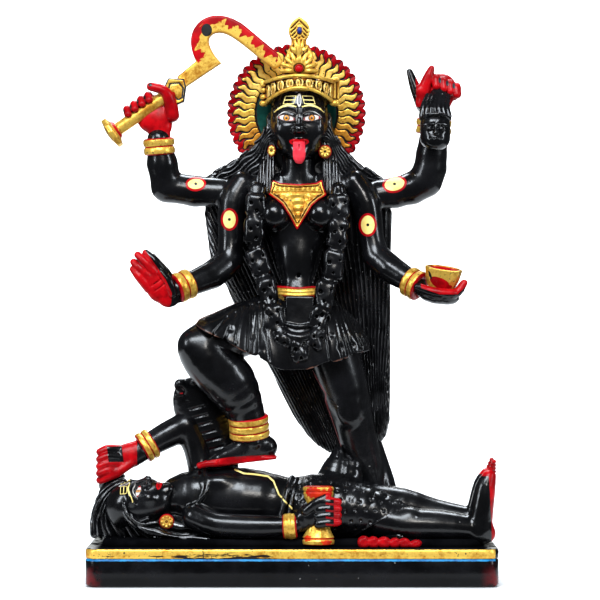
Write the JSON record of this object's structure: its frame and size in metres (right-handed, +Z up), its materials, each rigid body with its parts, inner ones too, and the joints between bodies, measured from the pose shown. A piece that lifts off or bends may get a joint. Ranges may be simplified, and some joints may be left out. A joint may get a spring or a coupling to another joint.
{
  "type": "kali figure",
  "caption": "Carved and painted black stone figure of Kali standing over the lying Shiva, on a long plinth with rounded corners.",
  "frame": {"origin": "middle of the plinth's underside", "axes": "+X to the viewer's right, +Y to the back, +Z up; the figure faces -Y"},
  "size_m": [0.4424, 0.1524, 0.6143],
  "materials": {
    "black_stone": "gloss enamel over polished black marble, with painted gold and red"
  },
  "bodies": {
    "root": {"kali_figure": "black_stone"}
  },
  "joints": []
}
